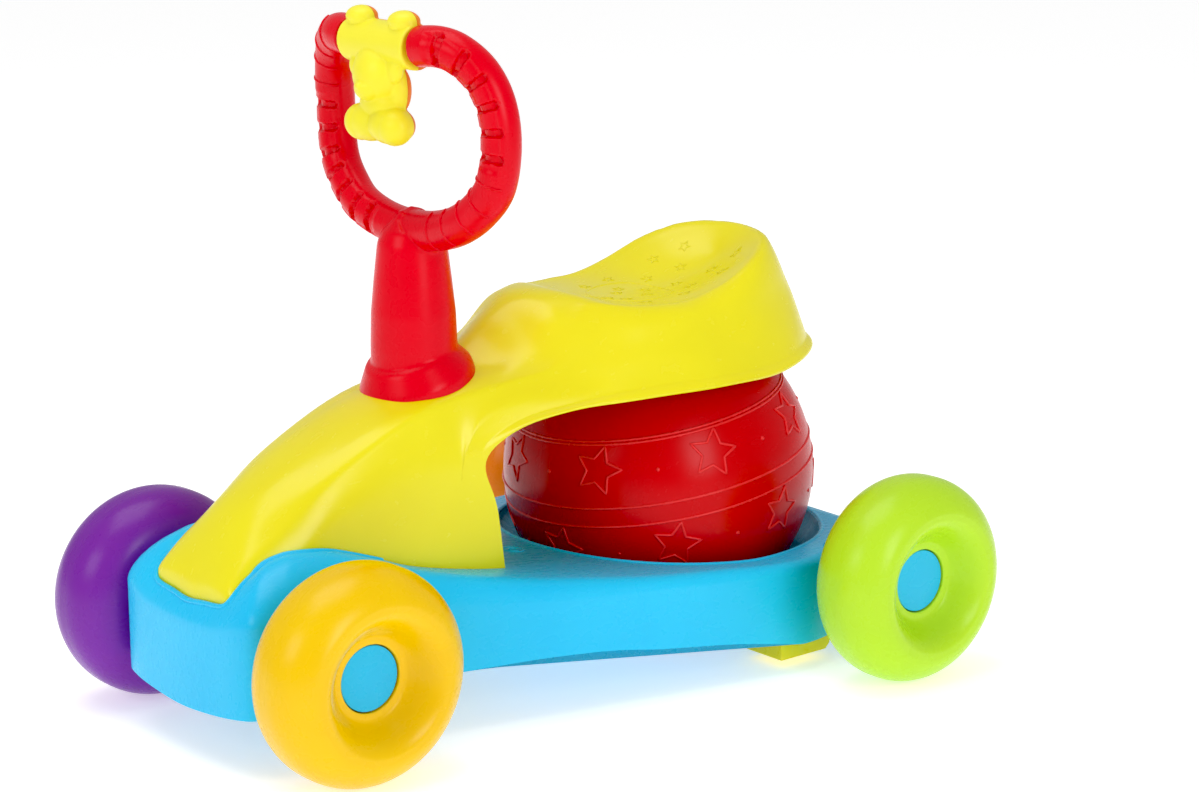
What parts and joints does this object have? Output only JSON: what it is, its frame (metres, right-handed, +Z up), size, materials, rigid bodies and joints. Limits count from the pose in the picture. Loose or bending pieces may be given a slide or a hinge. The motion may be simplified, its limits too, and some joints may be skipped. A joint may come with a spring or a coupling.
{
  "type": "bouncing ride-on toy",
  "caption": "Child's four-wheeled ride-on with a hollow base, a ball spring under a hinged saddle body, a ring handle and a hanging figure that spins.",
  "frame": {"origin": "on the floor, midway between the left and right wheels and midway between the front and rear axles", "axes": "+X to the toy's left, -Y to its front, +Z up"},
  "size_m": [0.4476, 0.5366, 0.457],
  "materials": {
    "base_blue": "smooth glossy blow moulding",
    "ball_red": "shiny soft vinyl skin",
    "white_nylon": "plain moulded nylon",
    "steel": "bright zinc plated",
    "wheel_amber": "satin blow moulding",
    "wheel_violet": "satin blow moulding",
    "wheel_lime": "satin blow moulding",
    "wheel_orange": "satin blow moulding",
    "cap_blue": "smooth glossy moulding",
    "body_yellow": "smooth glossy blow moulding",
    "handle_red": "smooth glossy moulding",
    "figure_yellow": "smooth glossy moulding",
    "figure_orange": "smooth glossy moulding",
    "foot_yellow": "satin moulding"
  },
  "bodies": {
    "base": {"base_deck": "base_blue", "bounce_ball": "ball_red", "ball_plug": "white_nylon", "front_axle": "steel", "rear_axle_left": "steel", "rear_axle_right": "steel", "nut_front_left": "steel", "nut_front_right": "steel", "nut_rear_left": "steel", "nut_rear_right": "steel", "seat_pin": "steel", "seat_pin_clip_left": "steel", "seat_pin_clip_right": "steel", "foot_pin_left": "steel", "foot_pin_right": "steel"},
    "front_left_wheel": {"wheel_front_left": "wheel_amber", "bush_front_left": "white_nylon", "hub_cap_front_left": "cap_blue"},
    "front_right_wheel": {"wheel_front_right": "wheel_violet", "bush_front_right": "white_nylon", "hub_cap_front_right": "cap_blue"},
    "rear_left_wheel": {"wheel_rear_left": "wheel_lime", "bush_rear_left": "white_nylon", "hub_cap_rear_left": "cap_blue"},
    "rear_right_wheel": {"wheel_rear_right": "wheel_orange", "bush_rear_right": "white_nylon", "hub_cap_rear_right": "cap_blue"},
    "seat_body": {"body_shell": "body_yellow", "handle_front": "handle_red", "handle_rear": "handle_red", "top_bar": "steel", "post_bolt": "steel", "handle_screw_1": "steel", "handle_screw_2": "steel", "handle_screw_3": "steel", "handle_screw_4": "steel"},
    "figure": {"figure_front": "figure_yellow", "figure_back": "figure_orange", "figure_screw_upper": "steel", "figure_screw_lower": "steel"},
    "left_foot": {"foot_left": "foot_yellow"},
    "right_foot": {"foot_right": "foot_yellow"}
  },
  "joints": [
    {"name": "front_left_wheel_turn", "type": "hinge", "parent": "base", "child": "front_left_wheel", "pos_m": [0.116, -0.1983, 0.07], "axis": [1, 0, 0], "continuous": true},
    {"name": "front_right_wheel_turn", "type": "hinge", "parent": "base", "child": "front_right_wheel", "pos_m": [-0.116, -0.1983, 0.07], "axis": [1, 0, 0], "continuous": true},
    {"name": "rear_left_wheel_turn", "type": "hinge", "parent": "base", "child": "rear_left_wheel", "pos_m": [0.191, 0.1983, 0.07], "axis": [1, 0, 0], "continuous": true},
    {"name": "rear_right_wheel_turn", "type": "hinge", "parent": "base", "child": "rear_right_wheel", "pos_m": [-0.191, 0.1983, 0.07], "axis": [1, 0, 0], "continuous": true},
    {"name": "seat_bounce", "type": "hinge", "parent": "base", "child": "seat_body", "pos_m": [0, -0.2158, 0.089], "axis": [-1, 0, 0], "range_deg": [0, 5], "stiffness_Nm_per_rad": 280, "springref_deg": -4.98, "deforming": ["bounce_ball"]},
    {"name": "figure_spin", "type": "hinge", "parent": "seat_body", "child": "figure", "pos_m": [0, -0.0843, 0.434], "axis": [1, 0, 0], "continuous": true},
    {"name": "left_foot_flip", "type": "hinge", "parent": "base", "child": "left_foot", "pos_m": [0.111, 0.1521, 0.03], "axis": [-1, 0, 0], "range_deg": [0, 90]},
    {"name": "right_foot_flip", "type": "hinge", "parent": "base", "child": "right_foot", "pos_m": [-0.111, 0.1521, 0.03], "axis": [-1, 0, 0], "range_deg": [0, 90]}
  ]
}
